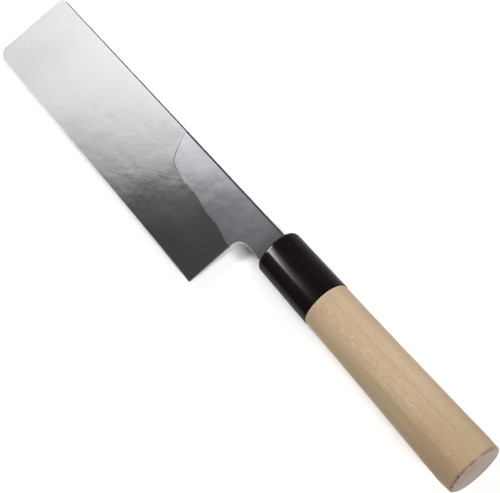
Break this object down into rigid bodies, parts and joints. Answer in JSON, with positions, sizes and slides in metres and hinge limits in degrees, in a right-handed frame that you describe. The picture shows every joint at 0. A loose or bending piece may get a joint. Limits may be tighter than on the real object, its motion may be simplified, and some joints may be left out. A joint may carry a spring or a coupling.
{
  "type": "usuba knife",
  "caption": "Single-bevel square-tipped vegetable knife with a laminated steel blade, black ferrule and pale wooden handle of oval section.",
  "frame": {"origin": "under the middle of the whole knife, at the height of the handle's lowest point, with the knife flat and its back up", "axes": "+X along the handle axis towards the tip, +Y towards the cutting edge, +Z out of the back (ura) of the blade"},
  "size_m": [0.3108, 0.0516, 0.0215],
  "materials": {
    "soft_iron": "ground and brushed, satin",
    "hard_steel": "finely ground and polished back",
    "black_horn": "polished gloss black",
    "pale_wood": "sanded bare wood",
    "bedding_resin": "cured resin",
    "seal_resin": "cured dark resin"
  },
  "bodies": {
    "root": {"blade_body": "soft_iron", "cutting_steel": "hard_steel", "ferrule": "black_horn", "handle": "pale_wood", "tang_bedding": "bedding_resin", "mouth_seal": "seal_resin"}
  },
  "joints": []
}
